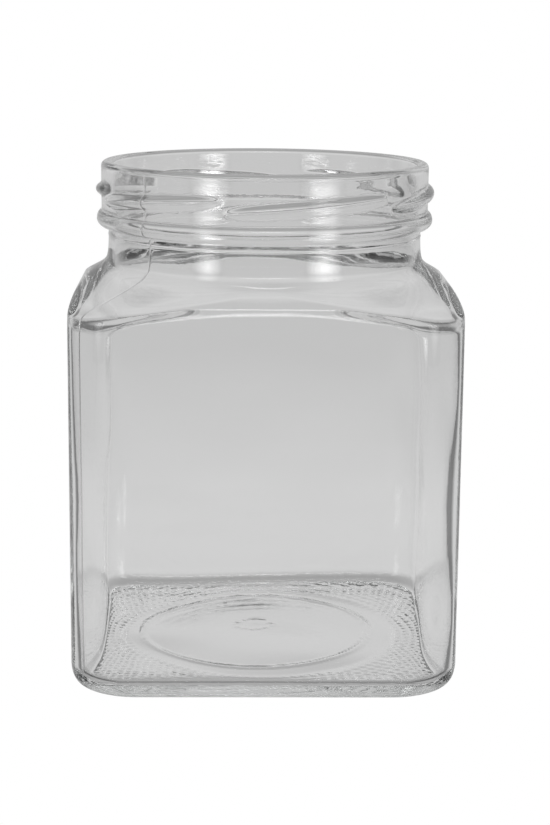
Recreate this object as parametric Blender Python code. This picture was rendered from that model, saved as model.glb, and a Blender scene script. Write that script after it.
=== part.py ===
"""Square storage jar of clear glass with a six-lug twist-off neck, open at the top.

The jar is one moulded piece, so it is one closed body: an outer skin from the base up to the rim,
an inner skin from the rim down to the floor, and a four-sided net that closes each end. Every
horizontal section is a ring of the same number of points, so the skins are rows of quads.
Metres, +Z up, origin at the middle of the base, front face towards -Y.
"""

from math import acos, cos, hypot, pi, radians, sin, sqrt

import bmesh
import bpy

# Driving dimensions, in metres.
HEIGHT = 0.120
BODY_WIDTH = 0.090
CORNER_RADIUS = 0.0112
WALL = 0.0028
FLOOR_THICKNESS = 0.0028

# Heel: the rounded edge between the walls and the base.
HEEL_WIDTH = 0.0030
HEEL_HEIGHT = 0.0064
HEEL_CORNER_RADIUS = 0.0136
INNER_HEEL_WIDTH = 0.0030
INNER_HEEL_HEIGHT = 0.0030
INNER_HEEL_CORNER_RADIUS = 0.0090

# Push-up: the shallow round hollow under the base.
PUSH_UP_RADIUS = 0.0330
PUSH_UP_HEIGHT = 0.0022
FLOOR_CROWN = 0.0016

# Shoulder: from the square body to the round neck. At height share h its half width has
# (1 - h**FACE_RISE) ** fall of the way in still to go, and the flats between its corners have
# (1 - h**CORNER_RISE) ** fall of their length left.
SHOULDER_FOOT = 0.0884
NECK_FOOT = 0.0960
NECK_FOOT_RADIUS = 0.0385
FACE_RISE = 2.6
CORNER_RISE = 1.3
OUTER_FALLS = (1.25, 2.4)
INNER_FALLS = (2.8, 3.0)
FOOT_ROUNDING = 0.12
FOOT_LEAD = 0.003
FILLET_SHARE = 0.86
FILLET_HEIGHT = 0.0009
INNER_DROP = 0.0020
INNER_NECK_FOOT = 0.0965

# Twist-off finish for an 82 mm lug cap.
FINISH_RADIUS = 0.03915
BORE_RADIUS = 0.0363
NECK_RADIUS = 0.0375
NECK_FLARE = 0.0002
BEAD_RADIUS = 0.0403
BEAD_MIDDLE = 0.1063
BEAD_HALF_HEIGHT = 0.0020
LUG_COUNT = 6
LUG_RADIUS = 0.0406
LUG_SPAN = radians(57.0)
LUG_START = radians(-13.0)
LUG_LOW = 0.1112
LUG_RISE = 0.0026
LUG_HALF_HEIGHT = 0.00175
LUG_TAPER = radians(20.0)
LUG_END_SHARE = 0.3
LUG_FLATNESS = 2.2
RIM_ROUNDING = 0.00125

# Net: points along one quarter of a ring, and the share of them that a corner's arc takes.
STEPS = 18
CORNER_SHARE = 0.45
HEEL_RINGS = 5
SHOULDER_RINGS = 9
FILLET_RINGS = 3
BEAD_RINGS = 6
LUG_RINGS = 11


def rounded_square(half, radius, corner_share=CORNER_SHARE):
    """Points of a rounded square, counter-clockwise from the middle of its front left corner."""
    points = []
    flat = half - radius
    arc = corner_share / 2
    for side in range(4):
        turn = side * pi / 2 - pi / 2
        for step in range(STEPS):
            share = step / STEPS
            if share < arc:
                angle = (share / arc - 1) * pi / 4
                out, along = flat + radius * cos(angle), -flat + radius * sin(angle)
            elif share >= 1 - arc:
                angle = (share - 1 + arc) / arc * pi / 4
                out, along = flat + radius * cos(angle), flat + radius * sin(angle)
            else:
                out, along = half, flat * (2 * (share - arc) / (1 - 2 * arc) - 1)
            points.append((out * cos(turn) - along * sin(turn), out * sin(turn) + along * cos(turn)))
    return points


def circle(radius):
    """Points of a circle, paired one to one with those of a rounded square."""
    count = 4 * STEPS
    angles = [2 * pi * step / count - 3 * pi / 4 for step in range(count)]
    return [(radius * cos(angle), radius * sin(angle)) for angle in angles]


def level(outline, height):
    return [(x, y, height) for x, y in outline]


def shoulder(neck_radius, half, radius, low, high, falls, top_share):
    """Rings from the body up to the neck, or as far as top_share of the way up."""
    rows = []
    for ring in range(SHOULDER_RINGS + 1):
        share = top_share * ring / SHOULDER_RINGS
        eased = min(1.0, (share + hypot(share, FOOT_ROUNDING)) / 2)
        width_left = (1 - eased**FACE_RISE) ** falls[0]
        flat_left = (1 - eased**CORNER_RISE) ** falls[1]
        width = neck_radius + (half - neck_radius) * width_left
        flat = (half - radius) * flat_left
        corner_share = 1 - (1 - CORNER_SHARE) * flat_left
        outline = rounded_square(width, width - flat, corner_share)
        rows.append(level(outline, low + (high - low) * share))
    return rows


def fillet(first, corner, last):
    """Rings of a quadratic curve between two rings, pulled towards the corner ring."""
    rows = []
    for ring in range(1, FILLET_RINGS + 1):
        u = ring / FILLET_RINGS
        weights = ((1 - u) ** 2, 2 * u * (1 - u), u * u)
        rows.append([
            tuple(sum(w * p[axis] for w, p in zip(weights, three)) for axis in range(3))
            for three in zip(first, corner, last)
        ])
    return rows


def heel(half, radius, width, height, corner, floor, rings):
    """Rings of a quarter ellipse from the base's edge, at height floor, up to the wall."""
    rows = []
    for ring in range(rings):
        angle = pi / 2 * ring / rings
        inset = 1 - sin(angle)
        outline = rounded_square(half - width * inset, radius + (corner - radius) * inset)
        rows.append(level(outline, floor + height * (1 - cos(angle))))
    return rows


def lug_height(x, y, z):
    """How far the lugs stand out of the finish here, from 0 to 1."""
    pitch = 2 * pi / LUG_COUNT
    around = (bearing(x, y) - LUG_START) % pitch
    if around > LUG_SPAN:
        return 0.0
    middle = LUG_LOW + LUG_RISE * around / LUG_SPAN
    end = min(around, LUG_SPAN - around) / LUG_TAPER
    taper = sqrt(max(0.0, 1 - (1 - min(end, 1.0)) ** 2))
    half_height = LUG_HALF_HEIGHT * (LUG_END_SHARE + (1 - LUG_END_SHARE) * taper)
    across = abs(z - middle) / half_height
    return taper * max(0.0, 1 - across**LUG_FLATNESS)


def bearing(x, y):
    """The angle around the axis, counter-clockwise from the front."""
    angle = acos(max(-1.0, min(1.0, -y / hypot(x, y))))
    return angle if x >= 0 else -angle


def finish_ring(radius, height):
    """A ring of the finish, pushed out where a lug crosses it."""
    row = []
    for x, y in circle(radius):
        stretch = 1 + (LUG_RADIUS / radius - 1) * lug_height(x, y, height)
        row.append((x * stretch, y * stretch, height))
    return row


def outer_skin():
    half = BODY_WIDTH / 2
    rows = heel(half, CORNER_RADIUS, HEEL_WIDTH, HEEL_HEIGHT, HEEL_CORNER_RADIUS, 0.0, HEEL_RINGS)
    body = rounded_square(half, CORNER_RADIUS)
    rows.append(level(body, HEEL_HEIGHT))
    rows.append(level(body, (HEEL_HEIGHT + SHOULDER_FOOT) / 2))
    rows.append(level(body, SHOULDER_FOOT - FOOT_LEAD))
    rows += shoulder(
        NECK_FOOT_RADIUS, half, CORNER_RADIUS, SHOULDER_FOOT, NECK_FOOT, OUTER_FALLS, FILLET_SHARE
    )
    corner = level(circle(NECK_FOOT_RADIUS), NECK_FOOT)
    rows += fillet(rows[-1], corner, level(circle(NECK_RADIUS + NECK_FLARE), NECK_FOOT + FILLET_HEIGHT))
    bead_foot = BEAD_MIDDLE - BEAD_HALF_HEIGHT
    bead_top = BEAD_MIDDLE + BEAD_HALF_HEIGHT
    rows.append(level(circle(NECK_RADIUS), bead_foot))
    lower_out, upper_out = BEAD_RADIUS - NECK_RADIUS, BEAD_RADIUS - FINISH_RADIUS
    for ring in range(1, BEAD_RINGS):
        angle = pi * ring / BEAD_RINGS
        swell = lower_out if angle < pi / 2 else upper_out
        radius = BEAD_RADIUS - swell * (1 - sin(angle))
        rows.append(level(circle(radius), BEAD_MIDDLE - BEAD_HALF_HEIGHT * cos(angle)))
    rows.append(level(circle(FINISH_RADIUS), bead_top))
    lug_foot = LUG_LOW - LUG_HALF_HEIGHT
    lug_top = LUG_LOW + LUG_RISE + LUG_HALF_HEIGHT
    for ring in range(LUG_RINGS + 1):
        rows.append(finish_ring(FINISH_RADIUS, lug_foot + (lug_top - lug_foot) * ring / LUG_RINGS))
    return rows


def rim():
    """Rings over the rounded rim, with a narrow flat land on top."""
    inset = RIM_ROUNDING * (1 - cos(pi / 4))
    return [
        level(circle(FINISH_RADIUS), HEIGHT - RIM_ROUNDING),
        level(circle(FINISH_RADIUS - inset), HEIGHT - inset),
        level(circle(FINISH_RADIUS - RIM_ROUNDING), HEIGHT),
        level(circle(BORE_RADIUS + RIM_ROUNDING), HEIGHT),
        level(circle(BORE_RADIUS + inset), HEIGHT - inset),
        level(circle(BORE_RADIUS), HEIGHT - RIM_ROUNDING),
    ]


def inner_skin():
    """The inner rings from the floor up to the neck, the lowest first."""
    half = BODY_WIDTH / 2 - WALL
    radius = CORNER_RADIUS - WALL
    top = SHOULDER_FOOT - INNER_DROP
    floor = FLOOR_THICKNESS
    rows = heel(
        half, radius, INNER_HEEL_WIDTH, INNER_HEEL_HEIGHT, INNER_HEEL_CORNER_RADIUS, floor, HEEL_RINGS
    )
    body = rounded_square(half, radius)
    rows.append(level(body, floor + INNER_HEEL_HEIGHT))
    rows.append(level(body, (floor + INNER_HEEL_HEIGHT + top) / 2))
    rows.append(level(body, top - FOOT_LEAD))
    rows += shoulder(BORE_RADIUS, half, radius, top, INNER_NECK_FOOT, INNER_FALLS, 1.0)
    rows.append(level(circle(BORE_RADIUS), (INNER_NECK_FOOT + HEIGHT) / 2))
    return rows


def net(edge, lift):
    """A four-sided net of points inside a ring, lifted by a function of the distance to the axis."""
    sides = [[edge[(side * STEPS + step) % len(edge)] for step in range(STEPS + 1)] for side in range(4)]
    front, right = sides[0], sides[1]
    back, left = sides[2][::-1], sides[3][::-1]
    rows = []
    for j in range(1, STEPS):
        v = j / STEPS
        row = []
        for i in range(1, STEPS):
            u = i / STEPS
            x, y = (
                (1 - v) * front[i][axis] + v * back[i][axis]
                + (1 - u) * left[j][axis] + u * right[j][axis]
                - (1 - u) * (1 - v) * front[0][axis] - u * (1 - v) * front[-1][axis]
                - (1 - u) * v * back[0][axis] - u * v * back[-1][axis]
                for axis in (0, 1)
            )
            row.append((x, y, edge[0][2] + lift(hypot(x, y))))
        rows.append(row)
    return rows


def hollow(depth, radius):
    """A smooth round rise of this depth that dies away at this radius."""
    return lambda distance: depth * max(0.0, 1 - (distance / radius) ** 2) ** 2


def add_ring(bm, row):
    return [bm.verts.new(point) for point in row]


def bridge(bm, lower, upper):
    """Quads between two rings, facing away from the axis when upper lies above lower."""
    count = len(lower)
    for i in range(count):
        j = (i + 1) % count
        bm.faces.new((lower[i], lower[j], upper[j], upper[i]))


def close_end(bm, edge, rows, upwards):
    """Fills a ring with its net, facing up or down."""
    grid = [edge[: STEPS + 1]]
    for j, row in enumerate(rows, start=1):
        grid.append([edge[-j], *(bm.verts.new(point) for point in row), edge[STEPS + j]])
    grid.append([edge[3 * STEPS - i] for i in range(STEPS + 1)])
    for j in range(STEPS):
        for i in range(STEPS):
            face = (grid[j][i], grid[j][i + 1], grid[j + 1][i + 1], grid[j + 1][i])
            bm.faces.new(face if upwards else face[::-1])


def glass_material():
    material = bpy.data.materials.new("clear_soda_lime_glass")
    material.use_nodes = True
    shader = material.node_tree.nodes["Principled BSDF"]
    shader.inputs["Base Color"].default_value = (0.86, 0.88, 0.88, 1.0)
    shader.inputs["Metallic"].default_value = 0.0
    shader.inputs["Roughness"].default_value = 0.03
    shader.inputs["IOR"].default_value = 1.52
    shader.inputs["Transmission Weight"].default_value = 1.0
    return material


def build_jar():
    bm = bmesh.new()
    outer = outer_skin()
    inner = inner_skin()
    skin = [add_ring(bm, row) for row in outer + rim() + inner[::-1]]
    for lower, upper in zip(skin, skin[1:]):
        bridge(bm, lower, upper)
    close_end(bm, skin[0], net(outer[0], hollow(PUSH_UP_HEIGHT, PUSH_UP_RADIUS)), upwards=False)
    close_end(bm, skin[-1], net(inner[0], hollow(FLOOR_CROWN, PUSH_UP_RADIUS)), upwards=True)
    mesh = bpy.data.meshes.new("glass_jar")
    bm.to_mesh(mesh)
    bm.free()
    mesh.shade_smooth()
    mesh.set_sharp_from_angle(angle=radians(35))
    mesh.materials.append(glass_material())
    jar = bpy.data.objects.new("glass_jar", mesh)
    bpy.context.scene.collection.objects.link(jar)


for old in list(bpy.data.objects):
    bpy.data.objects.remove(old, do_unlink=True)
build_jar()
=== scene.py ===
# Square storage jar of moulded flint glass, standing in a pale studio.
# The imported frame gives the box, and the jar's own skin is worked out here in fine detail.
import math
import bpy
import numpy as np
from mathutils import Matrix, Vector


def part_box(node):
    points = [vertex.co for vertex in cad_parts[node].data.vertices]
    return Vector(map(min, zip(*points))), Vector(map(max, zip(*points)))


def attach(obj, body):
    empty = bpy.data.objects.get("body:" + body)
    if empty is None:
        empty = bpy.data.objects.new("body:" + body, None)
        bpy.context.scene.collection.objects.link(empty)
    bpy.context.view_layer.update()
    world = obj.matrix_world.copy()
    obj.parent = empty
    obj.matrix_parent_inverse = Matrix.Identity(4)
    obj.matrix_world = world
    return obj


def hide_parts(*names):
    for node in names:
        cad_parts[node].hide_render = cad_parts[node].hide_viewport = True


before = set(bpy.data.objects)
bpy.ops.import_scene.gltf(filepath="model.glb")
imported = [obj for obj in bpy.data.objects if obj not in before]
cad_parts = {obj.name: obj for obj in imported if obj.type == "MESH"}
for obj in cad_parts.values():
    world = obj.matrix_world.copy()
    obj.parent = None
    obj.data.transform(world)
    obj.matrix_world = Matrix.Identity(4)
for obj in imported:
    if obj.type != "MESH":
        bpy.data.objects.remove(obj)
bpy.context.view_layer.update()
jarLow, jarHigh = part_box("glass_jar")
mm = 0.001  # the jar's sizes are in millimetres, and its mesh is written in metres

bodyHalf = (jarHigh.x - jarLow.x) / 2 / mm
jarHeight = jarHigh.z / mm
print("frame loaded: jar", round(2 * bodyHalf, 2), "mm wide and", round(jarHeight, 2), "mm high")


def linearColour(hexCode, alpha=1.0):
    # sRGB hex to linear light: c / 12.92 below 0.04045, else ((c + 0.055) / 1.055) ^ 2.4
    parts = [int(hexCode[i:i + 2], 16) / 255 for i in (1, 3, 5)]
    return [c / 12.92 if c <= 0.04045 else ((c + 0.055) / 1.055) ** 2.4 for c in parts] + [alpha]


def addNode(tree, kind, links=None, **settings):
    # one node with its settings; a setting named like a property is set, else it is an input's value
    node = tree.nodes.new(kind)
    for name, value in settings.items():
        if hasattr(node, name):
            setattr(node, name, value)
        else:
            node.inputs[name.replace("_", " ")].default_value = value
    for name, socket in (links or {}).items():
        tree.links.new(socket, node.inputs[name])
    return node


jarShape = {
    # body and base
    "cornerRadius": 11.2, "wall": 2.8, "floorThickness": 2.8,
    "heelWidth": 3.0, "heelHeight": 6.4, "heelCorner": 13.6,
    "innerHeelWidth": 3.0, "innerHeelHeight": 3.0, "innerHeelCorner": 9.0,
    "pushUpRadius": 33.0, "pushUpHeight": 2.2, "floorCrown": 1.8,
    # shoulder
    "shoulderFoot": 88.4, "faceRise": 2.6, "faceFall": 1.25, "cornerRise": 1.3, "cornerFall": 2.4,
    "neckFoot": 96.0, "neckFootRadius": 38.5, "filletShare": 0.86, "filletHeight": 0.9, "neckStart": 1.4,
    "innerDrop": 1.0, "innerNeckFoot": 96.5, "innerFaceFall": 2.8, "innerCornerFall": 4.0,
    "footRows": 6, "footRounding": 0.12, "neckSoftening": 20,
    # twist-off neck
    "neckRadius": 37.5, "neckFlareFade": 1.6, "finishRadius": 39.15, "boreRadius": 36.3,
    "beadRadius": 40.3, "beadMiddle": 106.3, "beadHalfHeight": 2.0,
    "lugCount": 6, "lugRadius": 40.6, "lugSpan": 57.0, "lugStart": -13.0,
    "lugLow": 111.2, "lugRise": 2.6, "lugHalfHeight": 1.75, "lugTaper": 20.0,
    "lugEndShare": 0.3, "lugFlatness": 2.2,
    "rimRounding": 1.25,
}
skinNet = {
    "columns": 75, "cornerShare": 0.45,  # columns on each of the four sides, and a corner arc's share of them
    "seamColumns": 4, "seamStep": 0.0019,  # extra close columns at each corner's middle, where the seams run
    "heelRows": 13, "wallRows": 20, "innerWallRows": 14, "shoulderRows": 18, "filletRows": 5, "neckRows": 6,
    "beadRows": 14, "lugRows": 27, "rimRows": 10, "boreRows": 10,
}
mouldMarks = {
    # raised lines where the mould halves meet, and where they meet the neck ring
    "seamWidth": 0.2, "seamHeight": 0.17, "seamStray": 0.07, "seamStep": 0.1, "seamFoot": 2.0,
    "backSeamShare": 0.35,
    "finLevel": 102.6, "finWidth": 0.16, "finHeight": 0.1,
    # rows of small knobs that keep the base off a cold table
    "stipplePitch": 2.3, "stippleRadius": 1.45, "stippleDepth": 0.16, "stippleFrom": 34.0,
    # ring left by the base plate, and the dots of the cavity mark in its middle
    "baffleRadius": 28.3, "baffleHeight": 0.3, "baffleWidth": 0.45, "baffleShift": (-1.7, 1.5),
    "dotRing": 4.3, "dotCount": 14, "dotRadius": 0.6, "dotHeight": 0.25,
}
glassWaves = {
    # slow unevenness of the blown inner face, in mm: height, waves around, waves per 100 mm of height, start
    "inner": [(0.10, 3, 0.7, 0.3), (0.07, 5, 1.6, 1.9), (0.05, 8, 2.3, 4.1), (0.035, 13, 3.7, 2.2),
              (0.05, 1, 5.2, 0.9), (0.03, 2, 8.3, 2.0)],
    "outer": [(0.02, 6, 1.1, 0.8), (0.012, 11, 2.9, 3.3)],
    # extra glass in the corners: which one (0 is front left), mm, reach as a share of a side, height, spread
    "corners": [
        (0, 0.9, 0.2, 78, 16), (0, 0.5, 0.16, 30, 22), (1, 0.8, 0.2, 74, 18), (1, 0.6, 0.18, 22, 16),
        (2, 0.6, 0.2, 60, 30), (3, 0.7, 0.2, 50, 30)],
    # how far from the ends the unevenness dies away: mm outside, at the rim inside and at the floor inside
    "outerCalm": 6.0, "rimCalm": 20.0, "floorCalm": 8.0,
    # and how many steps of the nets under and over the floor
    "underCalmSteps": 4, "floorCalmSteps": 10,
    "floor": [(0.14, 1.1, 0.4), (0.10, 1.5, 2.1), (0.06, 2.2, 1.2)],
}


def sideShares(count, dense, step):
    # 0 to 1 along one side: a few close steps at each end, even steps between
    close = step * np.arange(dense)
    evenly = np.linspace(step * dense, 1 - step * dense, count - 2 * dense + 1)
    return np.concatenate([close, evenly, (1 - close[1:])[::-1]])


def doubled(shares):
    # every share, and the middle between it and the next one around the ring
    following = np.append(shares[1:], 4.0)
    return np.stack([shares, (shares + following) / 2], axis=1).ravel()


def squareRing(t, half, radius, arcShare=skinNet["cornerShare"]):
    # rounded square from the middle of its front left corner: each side is an arc, a line and an arc,
    # turned by a quarter turn per side; t runs from 0 to 4 around it, counter-clockwise from above
    arc = arcShare / 2
    side = np.floor(t)
    share = t - side
    turn = side * math.pi / 2 - math.pi / 2
    flat = half - radius
    angle = np.where(share < 0.5, share / arc - 1, (share - 1 + arc) / arc) * math.pi / 4
    onArc = (share < arc) | (share > 1 - arc)
    out = np.where(onArc, flat + radius * np.cos(angle), half)
    arcAlong = np.where(share < 0.5, -flat, flat) + radius * np.sin(angle)
    along = np.where(onArc, arcAlong, flat * (2 * (share - arc) / np.maximum(1 - 2 * arc, 1e-9) - 1))
    return out * np.cos(turn) - along * np.sin(turn), out * np.sin(turn) + along * np.cos(turn)


def roundRing(t, radius):
    # circle, point by point opposite the rounded square's
    angle = t * math.pi / 2 - 3 * math.pi / 4
    return radius * np.cos(angle), radius * np.sin(angle)


def stacked(x, y, z):
    # rows by columns by three, from arrays that broadcast together
    return np.stack(np.broadcast_arrays(x, y, z), axis=-1).astype(float)


def heelBand(t, half, radius, width, height, corner, floor, rows):
    # quarter ellipse from the base's edge up to the wall: inset = 1 - sin a, rise = 1 - cos a
    angle = np.linspace(0, math.pi / 2, rows + 1)[:-1, None]
    inset = 1 - np.sin(angle)
    x, y = squareRing(t, half - width * inset, radius + (corner - radius) * inset)
    return stacked(x, y, floor + height * (1 - np.cos(angle)))


def wallBand(t, half, radius, low, high, rows):
    # straight wall, rows spread evenly between its two edges
    x, y = squareRing(t, half, radius)
    share = np.linspace(0, 1, rows + 1)[:-1, None]
    return stacked(x, y, low + (high - low) * share)


def shoulderBand(t, half, radius, neckRadius, low, high, topShare, falls, rows):
    # every level of the shoulder is a rounded square: at height share h its half width has (1 - h^a)^b of
    # the way to the neck's radius left to go, and its flats have (1 - h^c)^d of their length left;
    # (h + sqrt(h^2 + e^2)) / 2 in place of h rounds the break at the foot
    s = jarShape
    step = topShare / rows
    h = np.arange(-s["footRows"], rows + 1)[:, None] * step
    inward = np.minimum((h + np.sqrt(h ** 2 + s["footRounding"] ** 2)) / 2, 1)
    faceLeft = (1 - inward ** s["faceRise"]) ** falls[0]
    flatLeft = (1 - inward ** s["cornerRise"]) ** falls[1]
    width = neckRadius + (half - neckRadius) * faceLeft
    flat = (half - radius) * flatLeft
    arcShare = 1 - (1 - skinNet["cornerShare"]) * flatLeft
    x, y = squareRing(t, width, width - flat, arcShare)
    return stacked(x, y, low + (high - low) * h)


def softened(points, times):
    # rounds the inner break between shoulder and bore: each row moves to half of itself and a quarter of each
    # neighbour, again and again, with the first and last row held
    for _ in range(times):
        points = points.copy()
        points[1:-1] = (points[:-2] + 2 * points[1:-1] + points[2:]) / 4
    return points


def footStart(low, high, topShare):
    # height of the lowest of a shoulder's rows, which run a little way down the wall
    return low - (high - low) * topShare * jarShape["footRows"] / skinNet["shoulderRows"]


def filletBand(first, corner, last, rows):
    # quadratic curve from one row to another, pulled towards the corner row between them
    u = np.linspace(0, 1, rows + 1)[1:, None, None]
    return (1 - u) ** 2 * first + 2 * u * (1 - u) * corner + u ** 2 * last


def neckFlare(z):
    # the neck widens towards its foot as exp(-(z - foot) / fade)
    s = jarShape
    fade = np.exp(-(z - s["neckFoot"]) / s["neckFlareFade"])
    return s["neckRadius"] + (s["neckFootRadius"] - s["neckRadius"]) * fade


def lugRise(t, z):
    # 0 to 1: a leaf-shaped band that climbs along its span, with rounded ends and a flat back
    s = jarShape
    bearing = 90 * t - 45  # degrees from the front, counter-clockwise
    around = (bearing - s["lugStart"]) % (360 / s["lugCount"])
    middle = s["lugLow"] + s["lugRise"] * around / s["lugSpan"]
    end = np.clip(np.minimum(around, s["lugSpan"] - around) / s["lugTaper"], 0, 1)
    taper = np.sqrt(1 - (1 - end) ** 2)
    halfHeight = s["lugHalfHeight"] * (s["lugEndShare"] + (1 - s["lugEndShare"]) * taper)
    return taper * np.clip(1 - np.abs((z - middle) / halfHeight) ** s["lugFlatness"], 0, 1)


def finishBand(t):
    # the twist-off neck from above its fillet to the rim's inner edge, as radius against height
    s, n = jarShape, skinNet
    beadFoot = s["beadMiddle"] - s["beadHalfHeight"]
    beadTop = s["beadMiddle"] + s["beadHalfHeight"]
    finSteps = np.array([-2.2, -1.3, -0.7, 0, 0.7, 1.3, 2.2])  # rows across the line, in its own widths
    finLevels = mouldMarks["finLevel"] + mouldMarks["finWidth"] * finSteps
    neckLevels = np.concatenate([
        np.linspace(s["neckFoot"] + s["neckStart"], finLevels[0], n["neckRows"] + 1)[:-1], finLevels,
        np.linspace(finLevels[-1], beadFoot, 4)[1:-1]])
    neck = neckFlare(neckLevels)
    angle = np.linspace(0, math.pi, n["beadRows"] + 1)
    behind = np.where(angle < math.pi / 2, s["neckRadius"], s["finishRadius"])
    bead = s["beadRadius"] - (s["beadRadius"] - behind) * (1 - np.sin(angle))
    beadLevels = s["beadMiddle"] - s["beadHalfHeight"] * np.cos(angle)
    lugLevels = np.linspace(beadTop, jarHeight - s["rimRounding"], n["lugRows"] + 1)[1:-1]
    lugs = np.full(lugLevels.shape, s["finishRadius"])
    radius = np.concatenate([neck, bead, lugs])[:, None]
    level = np.concatenate([neckLevels, beadLevels, lugLevels])[:, None]
    radius = radius + (s["lugRadius"] - s["finishRadius"]) * lugRise(t, level)
    x, y = roundRing(t, radius)
    return stacked(x, y, level)


def rimBand(t):
    # half a turn over the rim, from the outside to the bore, with a nearly flat land between two rounds
    s = jarShape
    rounding = s["rimRounding"]
    angle = np.linspace(0, math.pi / 2, skinNet["rimRows"] // 2 + 1)
    outer = s["finishRadius"] - rounding * (1 - np.cos(angle))
    inner = s["boreRadius"] + rounding * (1 - np.cos(angle[::-1]))
    radius = np.concatenate([outer, inner])[:, None]
    climb = np.concatenate([np.sin(angle), np.sin(angle[::-1])])[:, None]
    x, y = roundRing(t, radius)
    return stacked(x, y, jarHeight - rounding * (1 - climb))


def innerSkin(t):
    # the inner surface from the rim down to the floor's edge, as rows in that order
    s, n = jarShape, skinNet
    half = bodyHalf - s["wall"]
    radius = s["cornerRadius"] - s["wall"]
    top = s["shoulderFoot"] - s["innerDrop"]
    floor = s["floorThickness"]
    heelTop = floor + s["innerHeelHeight"]
    heel = heelBand(
        t, half, radius, s["innerHeelWidth"], s["innerHeelHeight"], s["innerHeelCorner"], floor,
        n["heelRows"])
    wallTop = footStart(top, s["innerNeckFoot"], 1.0)
    wall = wallBand(t, half, radius, heelTop, wallTop, n["innerWallRows"])
    shoulder = shoulderBand(
        t, half, radius, s["boreRadius"], top, s["innerNeckFoot"], 1.0,
        (s["innerFaceFall"], s["innerCornerFall"]), n["shoulderRows"])
    boreTop = jarHeight - s["rimRounding"]
    boreLevels = np.linspace(s["innerNeckFoot"], boreTop, n["boreRows"] + 1)[1:-1, None]
    boreX, boreY = roundRing(t, s["boreRadius"])
    bore = stacked(boreX, boreY, boreLevels)
    upper = softened(np.concatenate([shoulder, bore]), s["neckSoftening"])
    return np.concatenate([heel, wall, upper])[::-1]


def outerSkin(t):
    # the outer surface from the heel's top to the neck's fillet
    s, n = jarShape, skinNet
    wallTop = footStart(s["shoulderFoot"], s["neckFoot"], s["filletShare"])
    wall = wallBand(t, bodyHalf, s["cornerRadius"], s["heelHeight"], wallTop, n["wallRows"])
    shoulder = shoulderBand(
        t, bodyHalf, s["cornerRadius"], s["neckFootRadius"], s["shoulderFoot"], s["neckFoot"],
        s["filletShare"], (s["faceFall"], s["cornerFall"]), n["shoulderRows"])
    footX, footY = roundRing(t, s["neckFootRadius"])
    filletTop = s["neckFoot"] + s["filletHeight"]
    neckX, neckY = roundRing(t, neckFlare(filletTop))
    foot = stacked(footX, footY, s["neckFoot"])
    fillet = filletBand(shoulder[-1], foot, stacked(neckX, neckY, filletTop), n["filletRows"])
    return np.concatenate([wall, shoulder, fillet])


def baseNet(edge, columns):
    # net of points inside a ring: the two pairs of facing sides are blended across, minus the corners' blend
    along = np.arange(columns + 1)
    sides = [np.take(edge, k * columns + along, axis=0, mode="wrap") for k in range(4)]
    front, right, back, left = sides[0], sides[1], sides[2][::-1], sides[3][::-1]
    u = np.linspace(0, 1, columns + 1)[None, :, None]
    v = np.linspace(0, 1, columns + 1)[:, None, None]
    ruled = (1 - v) * front[None] + v * back[None] + (1 - u) * left[:, None] + u * right[:, None]
    near = (1 - v) * ((1 - u) * front[0] + u * front[-1])
    far = v * ((1 - u) * back[0] + u * back[-1])
    return ruled - near - far


def waves(t, z, table):
    # sum of sines that run around the jar and up it:
    # height * sin(n * pi / 2 * t + start) * cos(2 pi * m * z / 100 + start)
    total = np.zeros(np.broadcast_shapes(np.shape(t), np.shape(z)))
    for height, around, upward, start in table:
        climb = np.cos(2 * math.pi * upward * z / 100 + start)
        total = total + height * np.sin(around * math.pi / 2 * t + start) * climb
    return total


def cornerGlass(t, z):
    # extra glass in the four corners: thickness * (1 - (d / reach)^2)^2 around each corner's middle,
    # thickest at one height and thinning as a bell curve above and below it
    total = 0.0
    for corner, thickness, reach, level, spread in glassWaves["corners"]:
        d = (t - corner + 2) % 4 - 2
        across = np.clip(1 - (d / reach) ** 2, 0, 1) ** 2
        total = total + thickness * across * np.exp(-((z - level) / spread) ** 2)
    return total


def outwards(points, distance):
    # moves points away from the jar's axis, level
    reach = np.hypot(points[..., 0], points[..., 1])
    moved = points.copy()
    moved[..., 0] += points[..., 0] / reach * distance
    moved[..., 1] += points[..., 1] / reach * distance
    return moved


def seamLine(t, z):
    # raised line on two opposite corners: height * exp(-(d / width)^2), where d strays a little with height
    # and steps sideways where the neck ring takes over from the body mould
    m = mouldMarks
    mmPerTurn = jarShape["neckRadius"] * math.pi / 2
    stray = m["seamStray"] * np.sin(1.9 * z) * np.cos(0.7 * z + 1.0) * (z > m["finLevel"])
    stray = stray + np.where(z > m["finLevel"], m["seamStep"], 0.0)
    d = ((t + 1) % 2 - 1) * mmPerTurn - stray
    fade = np.clip(z / m["seamFoot"], 0, 1) ** 2 * np.clip((jarHeight - 0.4 - z) / 0.6, 0, 1)
    strength = 0.7 + 0.3 * np.sin(0.9 * z + 0.5) * np.cos(0.23 * z)
    strength = strength * np.where(np.abs(t - 2) < 1, m["backSeamShare"], 1.0)
    return m["seamHeight"] * strength * np.exp(-(d / m["seamWidth"]) ** 2) * fade


def finLine(z):
    # raised line around the neck: height * exp(-((z - level) / width)^2)
    m = mouldMarks
    return m["finHeight"] * np.exp(-((z - m["finLevel"]) / m["finWidth"]) ** 2)


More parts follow.
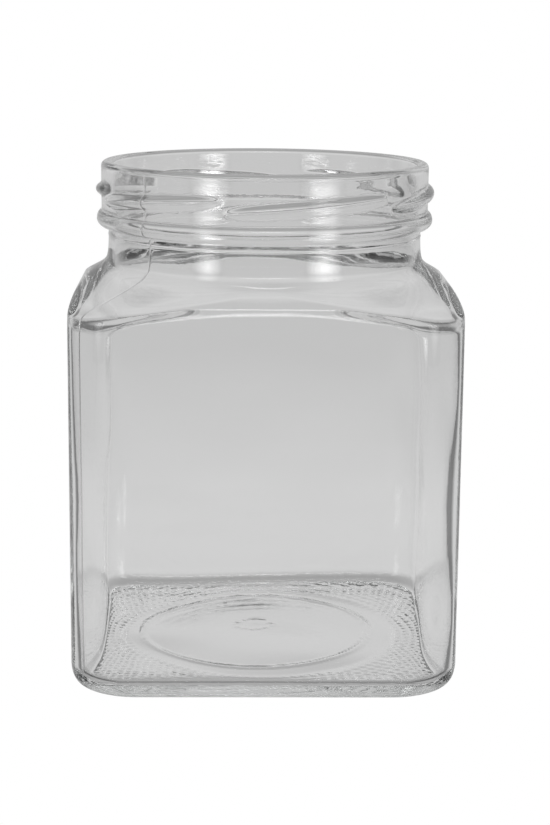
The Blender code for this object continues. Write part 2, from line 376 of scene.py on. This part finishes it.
def stippling(x, y):
    # 0 at a knob's top to 1 in the valleys: rings a pitch apart, knobs a pitch apart along each ring,
    # every other ring shifted by half a knob; knob = (1 - (d / R)^2)^2
    m = mouldMarks
    reach, bearing = np.hypot(x, y), np.arctan2(y, x)
    ring = np.round((reach - m["stippleFrom"]) / m["stipplePitch"])
    ringReach = m["stippleFrom"] + ring * m["stipplePitch"]
    knobs = np.round(2 * math.pi * ringReach / m["stipplePitch"])
    phase = bearing / (2 * math.pi) * knobs + 0.5 * (ring % 2)
    along = (phase - np.round(phase)) * m["stipplePitch"]
    far = np.hypot(along, reach - ringReach)
    knob = np.clip(1 - (far / m["stippleRadius"]) ** 2, 0, 1) ** 2
    return np.where(ring >= 0, 1 - knob, 1.0)


def baseMarks(x, y):
    # relief under the base: knobs outside, the base plate's groove, and a ring of dots inside it
    m = mouldMarks
    reach = np.hypot(x, y)
    edge = np.clip((reach - m["stippleFrom"] + m["stipplePitch"] / 2) / 1.0, 0, 1)
    knobs = m["stippleDepth"] * stippling(x, y) * edge
    plateX, plateY = x - m["baffleShift"][0], y - m["baffleShift"][1]
    plateReach, plateBearing = np.hypot(plateX, plateY), np.arctan2(plateY, plateX)
    ring = m["baffleHeight"] * np.exp(-((plateReach - m["baffleRadius"]) / m["baffleWidth"]) ** 2)
    phase = plateBearing / (2 * math.pi) * m["dotCount"]
    along = (phase - np.round(phase)) * 2 * math.pi * m["dotRing"] / m["dotCount"]
    far = np.hypot(along, plateReach - m["dotRing"])
    dots = m["dotHeight"] * np.clip(1 - (far / m["dotRadius"]) ** 2, 0, 1) ** 2
    return knobs + ring - dots


def floorWaves(x, y):
    # slow unevenness of the inner floor: sum of height * sin(pitch * (x cos a + y sin a) / 10)
    total = np.zeros(x.shape)
    for height, pitch, turn in glassWaves["floor"]:
        total = total + height * np.sin(pitch * (x * math.cos(turn) + y * math.sin(turn)) / 10 + turn)
    return total


def roundHollow(x, y, depth, radius):
    # smooth rise that dies away at its radius: depth * (1 - (r / R)^2)^2
    return depth * np.clip(1 - (x ** 2 + y ** 2) / radius ** 2, 0, 1) ** 2


def bandFaces(firstPoint, rows, count):
    # quads between neighbouring rows of one skin, around the whole ring
    row, column = np.meshgrid(np.arange(rows - 1), np.arange(count), indexing="ij")
    following = (column + 1) % count
    low = firstPoint + row * count
    high = low + count
    return np.stack([low + column, low + following, high + following, high + column], axis=-1).reshape(-1, 4)


def halvingFaces(fineFirst, coarseFirst, coarse):
    # three triangles per coarse step join a ring of twice the points to the one above it
    i = np.arange(coarse)
    j = (i + 1) % coarse
    a, b, c = fineFirst + 2 * i, fineFirst + 2 * i + 1, fineFirst + (2 * i + 2) % (2 * coarse)
    p, q = coarseFirst + i, coarseFirst + j
    return np.concatenate([np.stack(three, axis=-1) for three in ((a, b, p), (b, q, p), (b, c, q))])


def netFaces(index, upwards):
    # quads of a square net of point numbers, facing up or down
    quads = np.stack([index[:-1, :-1], index[:-1, 1:], index[1:, 1:], index[1:, :-1]], axis=-1).reshape(-1, 4)
    return quads if upwards else quads[:, ::-1]


def netIndex(edgeFirst, innerFirst, columns):
    # point numbers of a net whose border is a ring that exists already
    count = 4 * columns
    index = np.empty((columns + 1, columns + 1), int)
    along = np.arange(columns + 1)
    index[0] = edgeFirst + along
    index[:, -1] = edgeFirst + columns + along
    index[-1] = edgeFirst + 3 * columns - along
    index[:, 0] = edgeFirst + (count - along) % count
    index[1:-1, 1:-1] = innerFirst + np.arange((columns - 1) ** 2).reshape(columns - 1, columns - 1)
    return index


def buildJar():
    # outer skin, rim and inner skin in one run of rows, closed by a net under the base and one over the floor
    s, n, w = jarShape, skinNet, glassWaves
    shares = sideShares(n["columns"], n["seamColumns"], n["seamStep"])
    t = (np.arange(4)[:, None] + shares[None]).ravel()
    fineT = doubled(t)
    count, fineCount = len(t), len(fineT)
    heel = heelBand(
        fineT, bodyHalf, s["cornerRadius"], s["heelWidth"], s["heelHeight"], s["heelCorner"], 0.0,
        n["heelRows"])
    outside = np.concatenate([outerSkin(t), finishBand(t)])
    level = outside[..., 2]
    dip = sum(row[0] for row in w["outer"])  # keeps the waves inside the body's width
    fromHeel = np.clip((level - s["heelHeight"]) / w["outerCalm"], 0, 1)
    calm = fromHeel * np.clip((jarHeight - level) / w["outerCalm"], 0, 1)
    unevenness = (waves(t, level, w["outer"]) - dip) * calm
    outside = outwards(outside, seamLine(t, level) + finLine(level) + unevenness)
    inside = innerSkin(t)
    insideLevel = inside[..., 2]
    depth = np.clip((jarHeight - insideLevel) / w["rimCalm"], 0, 1)
    depth = depth * np.clip((insideLevel - s["floorThickness"]) / w["floorCalm"], 0, 1)
    uneven = waves(t, insideLevel, w["inner"]) - cornerGlass(t, insideLevel)
    inside = outwards(inside, uneven * depth)
    skin = np.concatenate([outside, rimBand(t), inside])
    under = baseNet(heel[0], 2 * n["columns"])[1:-1, 1:-1]
    line = np.arange(1, 2 * n["columns"])
    fromEdge = np.minimum(line, 2 * n["columns"] - line)
    calmEdge = np.clip(np.minimum(fromEdge[:, None], fromEdge[None]) / w["underCalmSteps"], 0, 1)
    under[..., 2] += roundHollow(under[..., 0], under[..., 1], s["pushUpHeight"], s["pushUpRadius"])
    under[..., 2] += baseMarks(under[..., 0], under[..., 1]) * calmEdge
    floor = baseNet(skin[-1], n["columns"])[1:-1, 1:-1]
    floorLine = np.arange(1, n["columns"])
    floorEdge = np.minimum(floorLine, n["columns"] - floorLine)
    calmFloor = np.clip(np.minimum(floorEdge[:, None], floorEdge[None]) / w["floorCalmSteps"], 0, 1)
    floor[..., 2] += roundHollow(floor[..., 0], floor[..., 1], s["floorCrown"], s["pushUpRadius"])
    floor[..., 2] += floorWaves(floor[..., 0], floor[..., 1]) * calmFloor
    points = np.concatenate([part.reshape(-1, 3) for part in (heel, skin, under, floor)])
    skinFirst = heel.shape[0] * fineCount
    underFirst = skinFirst + skin.shape[0] * count
    floorFirst = underFirst + under.shape[0] * under.shape[1]
    lastRing = underFirst - count
    quads = [
        bandFaces(0, heel.shape[0], fineCount),
        bandFaces(skinFirst, skin.shape[0], count),
        netFaces(netIndex(0, underFirst, 2 * n["columns"]), upwards=False),
        netFaces(netIndex(lastRing, floorFirst, n["columns"]), upwards=True),
    ]
    joint = halvingFaces(skinFirst - fineCount, skinFirst, count)
    faces = np.concatenate(quads).tolist() + joint.tolist()
    mesh = bpy.data.meshes.new("moulded_jar")
    mesh.from_pydata((points * mm).tolist(), [], faces)
    mesh.shade_smooth()
    jar = bpy.data.objects.new("moulded_jar", mesh)
    bpy.context.scene.collection.objects.link(jar)
    return jar


glassFinish = {
    "tint": "#FFFFFF", "ior": 1.52, "absorption": "#E6E9E8", "absorptionPerMetre": 4.0,
    "orangePeel": 1.3, "grain": 0.45,  # mm, from one ripple of the mould's skin to the next
    "peelDepth": 0.004, "grainDepth": 0.0008,  # mm
    "wearPatch": 12.0,  # mm, from one faintly duller patch to the next
    "smoothest": 0.0, "dullest": 0.03,  # roughness, between these noise levels
    "smoothBelow": 0.35, "dullAbove": 0.7,
}


def flintGlass():
    # flint glass blown in an iron mould: clear to the eye and grey edgewise, with the iron's faint orange
    # peel drawing soft ripples in what is seen through it
    g = glassFinish
    material = bpy.data.materials.new("flint_glass_blown_in_iron_mould")
    material.use_nodes = True
    tree = material.node_tree
    shader = tree.nodes["Principled BSDF"]
    output = tree.nodes["Material Output"]
    shader.inputs["Base Color"].default_value = linearColour(g["tint"])
    shader.inputs["IOR"].default_value = g["ior"]
    shader.inputs["Transmission Weight"].default_value = 1.0
    place = addNode(tree, "ShaderNodeTexCoord")
    here = {"Vector": place.outputs["Object"]}
    peel = addNode(tree, "ShaderNodeTexNoise", here, Scale=1 / (g["orangePeel"] * mm), Detail=1.0)
    grain = addNode(tree, "ShaderNodeTexNoise", here, Scale=1 / (g["grain"] * mm), Detail=1.0)
    peelBump = addNode(
        tree, "ShaderNodeBump", {"Height": peel.outputs["Fac"]}, Strength=1.0, Distance=g["peelDepth"] * mm)
    grainBump = addNode(
        tree, "ShaderNodeBump", {"Height": grain.outputs["Fac"], "Normal": peelBump.outputs[0]},
        Strength=1.0, Distance=g["grainDepth"] * mm)
    tree.links.new(grainBump.outputs[0], shader.inputs["Normal"])
    wear = addNode(tree, "ShaderNodeTexNoise", here, Scale=1 / (g["wearPatch"] * mm), Detail=3.0)
    dull = addNode(
        tree, "ShaderNodeMapRange", {"Value": wear.outputs["Fac"]}, From_Min=g["smoothBelow"],
        From_Max=g["dullAbove"], To_Min=g["smoothest"], To_Max=g["dullest"])
    tree.links.new(dull.outputs[0], shader.inputs["Roughness"])
    depth = addNode(
        tree, "ShaderNodeVolumeAbsorption", Color=linearColour(g["absorption"]),
        Density=g["absorptionPerMetre"])
    tree.links.new(depth.outputs[0], output.inputs["Volume"])
    return material


jar = buildJar()
jar.data.materials.append(flintGlass())
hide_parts("glass_jar")
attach(jar, "root")
print("jar skin:", len(jar.data.vertices), "points,", len(jar.data.polygons), "faces")


studio = {
    "floorSize": 6.0, "floorDrop": 0.0002,
    # light level of the surroundings against the angle from straight behind the jar, in degrees
    "aroundSteps": [
        (0, 0.68), (42, 0.68), (56, 0.2), (76, 0.2), (85, 0.46), (95, 0.46), (104, 0.16), (160, 0.16),
        (172, 0.42), (180, 0.42)],
    # factor against the angle above the horizon: fullest a little below it, dimmer overhead and underfoot
    "heightSteps": [
        (-90, 0.6), (-40, 0.6), (-30, 0.5), (-20, 0.95), (-15, 1.0), (-10, 0.85), (0, 0.85), (40, 0.8),
        (90, 0.85)],
    # soft boxes: bearing from the camera's side, climb, distance, width, height and glow in the middle
    "boxes": [(-41.0, 4.0, 0.55, 0.24, 0.3, 5.5), (41.0, 4.0, 0.55, 0.28, 0.3, 7.0),
              (0.0, 38.0, 0.7, 0.6, 0.12, 8.0)],
    "boxCentre": 0.8,  # height that the boxes turn about, as a share of the jar's
    "lightBounces": 32,  # light crosses many faces of glass on its way
}
cameraPlace = {
    "lens": 85.31, "sensor": 36.0, "position": (-8.25, -470.2, 158.8),
    "down": 12.062, "heading": 1.361, "roll": 0.532,
}


def stepRamp(tree, steps, low, high, angle):
    # a grey ramp over an angle in degrees, with a stop at each given angle
    share = addNode(
        tree, "ShaderNodeMapRange", {"Value": angle}, From_Min=low, From_Max=high, To_Min=0.0, To_Max=1.0)
    ramp = addNode(tree, "ShaderNodeValToRGB", {"Fac": share.outputs[0]})
    stops = ramp.color_ramp.elements
    stops.remove(stops[1])
    for number, (at, level) in enumerate(steps):
        stop = stops[0] if number == 0 else stops.new(0.5)
        stop.position = (at - low) / (high - low)
        stop.color = (level, level, level, 1.0)
    return ramp.outputs["Color"]


def studioWorld():
    # plain white where the camera looks past the jar; what the glass shows is a grey sweep by direction
    world = bpy.data.worlds.new("studio_sweep")
    bpy.context.scene.world = world
    world.use_nodes = True
    tree = world.node_tree
    direction = addNode(tree, "ShaderNodeTexCoord")
    axes = addNode(tree, "ShaderNodeSeparateXYZ", {"Vector": direction.outputs["Generated"]})
    around = addNode(
        tree, "ShaderNodeMath", {0: axes.outputs["X"], 1: axes.outputs["Y"]}, operation="ARCTAN2")
    aroundSize = addNode(tree, "ShaderNodeMath", {0: around.outputs[0]}, operation="ABSOLUTE")
    aroundDegrees = addNode(tree, "ShaderNodeMath", {0: aroundSize.outputs[0]}, operation="DEGREES")
    climb = addNode(tree, "ShaderNodeMath", {0: axes.outputs["Z"]}, operation="ARCSINE")
    climbDegrees = addNode(tree, "ShaderNodeMath", {0: climb.outputs[0]}, operation="DEGREES")
    sweep = addNode(
        tree, "ShaderNodeMath",
        {0: stepRamp(tree, studio["aroundSteps"], 0, 180, aroundDegrees.outputs[0]),
         1: stepRamp(tree, studio["heightSteps"], -90, 90, climbDegrees.outputs[0])},
        operation="MULTIPLY")
    seen = addNode(tree, "ShaderNodeLightPath")
    level = addNode(
        tree, "ShaderNodeMath", {0: sweep.outputs[0], 1: seen.outputs["Is Camera Ray"]}, operation="MAXIMUM")
    tree.links.new(level.outputs[0], tree.nodes["Background"].inputs["Strength"])
    tree.nodes["Background"].inputs["Color"].default_value = linearColour("#FFFFFF")


def studioFloor():
    # pale floor that the camera sees, and the glass doesn't
    reach = studio["floorSize"] / 2
    mesh = bpy.data.meshes.new("studio_floor")
    corners = [(-reach, -reach), (reach, -reach), (reach, reach), (-reach, reach)]
    mesh.from_pydata([(x, y, -studio["floorDrop"]) for x, y in corners], [], [(0, 1, 2, 3)])
    floor = bpy.data.objects.new("studio_floor", mesh)
    bpy.context.scene.collection.objects.link(floor)
    material = bpy.data.materials.new("painted_studio_floor")
    material.use_nodes = True
    shader = material.node_tree.nodes["Principled BSDF"]
    shader.inputs["Base Color"].default_value = linearColour("#000000")
    shader.inputs["Emission Color"].default_value = linearColour("#FFFFFF")
    shader.inputs["Emission Strength"].default_value = 1.0
    shader.inputs["Specular IOR Level"].default_value = 0.0
    mesh.materials.append(material)
    floor.visible_transmission = False
    floor.visible_glossy = False
    floor.visible_diffuse = False
    floor.visible_shadow = False


def softBox(bearing, climb, distance, width, height, glow):
    # soft light facing the jar's middle, brightest in its own middle
    turn = Matrix.Rotation(math.radians(bearing), 4, "Z") @ Matrix.Rotation(-math.radians(climb), 4, "X")
    lift = Matrix.Translation((0, 0, jarHeight * mm * studio["boxCentre"]))
    x, z = width / 2, height / 2
    corners = [lift @ turn @ Vector((a, -distance, b)) for a, b in ((-x, -z), (x, -z), (x, z), (-x, z))]
    mesh = bpy.data.meshes.new("soft_box")
    mesh.from_pydata(corners, [], [(3, 2, 1, 0)])
    mesh.uv_layers.new(name="cloth")
    mesh.uv_layers["cloth"].data.foreach_set("uv", np.array([-1, 1, 1, 1, 1, -1, -1, -1], float))
    box = bpy.data.objects.new("soft_box", mesh)
    bpy.context.scene.collection.objects.link(box)
    material = bpy.data.materials.new("lit_diffuser_cloth")
    material.use_nodes = True
    tree = material.node_tree
    place = addNode(tree, "ShaderNodeUVMap", uv_map="cloth")
    fall = addNode(tree, "ShaderNodeTexGradient", {"Vector": place.outputs["UV"]}, gradient_type="SPHERICAL")
    level = addNode(tree, "ShaderNodeMath", {0: fall.outputs["Fac"]}, operation="MULTIPLY")
    level.inputs[1].default_value = glow
    light = addNode(tree, "ShaderNodeEmission", {"Strength": level.outputs[0]})
    tree.links.new(light.outputs[0], tree.nodes["Material Output"].inputs["Surface"])
    mesh.materials.append(material)
    box.visible_camera = False


def cameraObject():
    # camera a little above the jar, looking down at its front
    c = cameraPlace
    data = bpy.data.cameras.new("studio_camera")
    data.lens = c["lens"]
    data.sensor_width = c["sensor"]
    data.dof.use_dof = False
    camera = bpy.data.objects.new("studio_camera", data)
    turn = (
        Matrix.Rotation(-math.radians(c["heading"]), 4, "Z")
        @ Matrix.Rotation(math.radians(90 - c["down"]), 4, "X")
        @ Matrix.Rotation(math.radians(c["roll"]), 4, "Z"))
    camera.matrix_world = Matrix.Translation([value * mm for value in c["position"]]) @ turn
    bpy.context.scene.collection.objects.link(camera)
    bpy.context.scene.camera = camera


studioWorld()
studioFloor()
for box in studio["boxes"]:
    softBox(*box)
cameraObject()
bpy.context.scene.cycles.max_bounces = studio["lightBounces"]
bpy.context.scene.cycles.transmission_bounces = studio["lightBounces"]
bpy.context.scene.cycles.glossy_bounces = studio["lightBounces"]
print("studio ready")
bpy.context.scene.view_settings.view_transform = "Standard"
